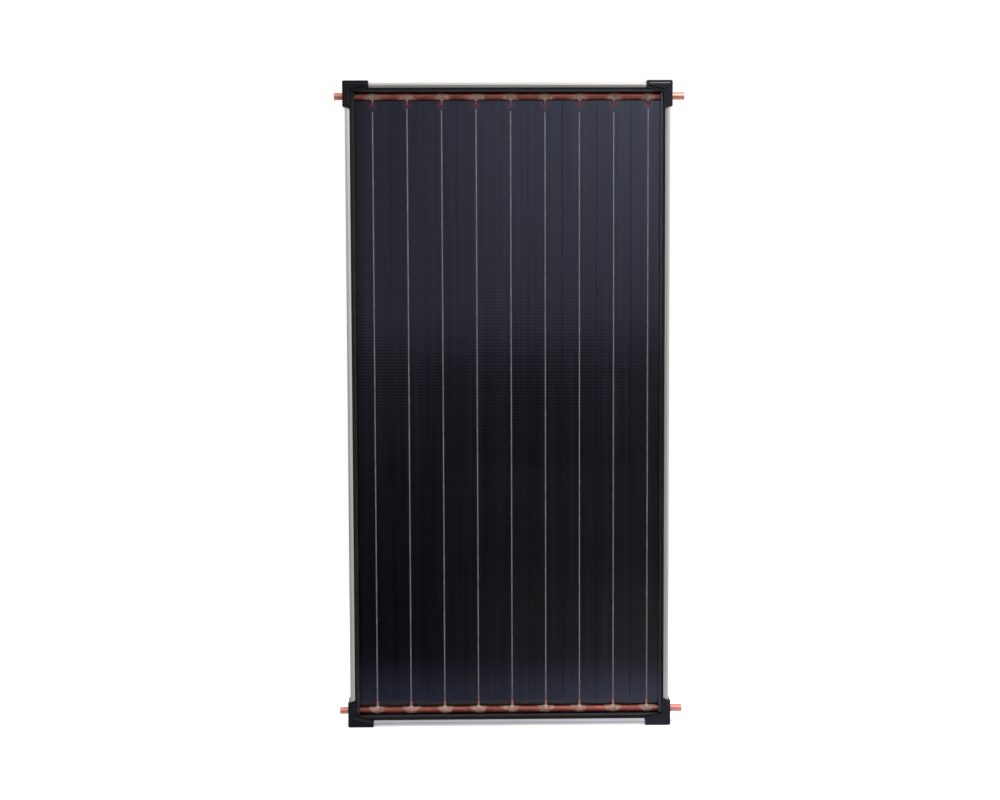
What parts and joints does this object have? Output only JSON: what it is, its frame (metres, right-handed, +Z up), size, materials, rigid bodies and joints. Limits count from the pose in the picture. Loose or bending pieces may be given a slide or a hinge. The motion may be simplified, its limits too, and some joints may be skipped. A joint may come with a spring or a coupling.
{
  "type": "flat-plate solar water heating collector",
  "caption": "Glazed flat-plate solar collector: black finned absorber with copper risers and headers, in an aluminium frame with black corner caps and pipe stubs.",
  "frame": {"origin": "on the ground under the two lower corner caps, midway across the casing, at the middle of the rails' depth", "axes": "+X to the right seen from the glass side, +Y from the glass to the back, +Z up along the risers"},
  "size_m": [1.08, 0.083, 2.014],
  "materials": {
    "rail_aluminium": "natural anodised extrusion, satin",
    "cap_plastic": "black moulded plastic, fine grain",
    "clear_glass": "clear tempered low-iron glass",
    "gasket_rubber": "black EPDM, matt",
    "mineral_wool": "yellow-green mineral wool mat",
    "edge_wool": "dark faced wool strip",
    "back_aluminium": "stucco-embossed sheet",
    "fastener_steel": "zinc plated",
    "rivet_aluminium": "bright, dull",
    "header_copper": "copper tube, heat-tinted beside the brazed tees",
    "riser_copper": "copper tube",
    "fin_black": "selective black coating on rippled foil",
    "braze_alloy": "brazing alloy with flux stains"
  },
  "bodies": {
    "casing": {"left_rail": "rail_aluminium", "right_rail": "rail_aluminium", "bottom_rail": "rail_aluminium", "top_rail": "rail_aluminium", "corner_cap_bottom_left": "cap_plastic", "corner_cap_bottom_right": "cap_plastic", "corner_cap_top_left": "cap_plastic", "corner_cap_top_right": "cap_plastic", "glass_pane": "clear_glass", "glass_gasket": "gasket_rubber", "grommet_bottom_left": "gasket_rubber", "grommet_bottom_right": "gasket_rubber", "grommet_top_left": "gasket_rubber", "grommet_top_right": "gasket_rubber", "back_insulation": "mineral_wool", "left_edge_insulation": "edge_wool", "right_edge_insulation": "edge_wool", "bottom_edge_insulation": "edge_wool", "top_edge_insulation": "edge_wool", "back_sheet": "back_aluminium", "back_rivets": "rivet_aluminium", "corner_screws": "fastener_steel"},
    "absorber": {"bottom_header": "header_copper", "top_header": "header_copper", "riser_1": "riser_copper", "riser_2": "riser_copper", "riser_3": "riser_copper", "riser_4": "riser_copper", "riser_5": "riser_copper", "riser_6": "riser_copper", "riser_7": "riser_copper", "riser_8": "riser_copper", "riser_9": "riser_copper", "fin_1": "fin_black", "fin_2": "fin_black", "fin_3": "fin_black", "fin_4": "fin_black", "fin_5": "fin_black", "fin_6": "fin_black", "fin_7": "fin_black", "fin_8": "fin_black", "fin_9": "fin_black", "braze_fillets": "braze_alloy"}
  },
  "joints": [
    {"name": "absorber_float", "type": "slide", "parent": "casing", "child": "absorber", "axis": [1, 0, 0], "range_m": [-0.018, 0.002]}
  ]
}
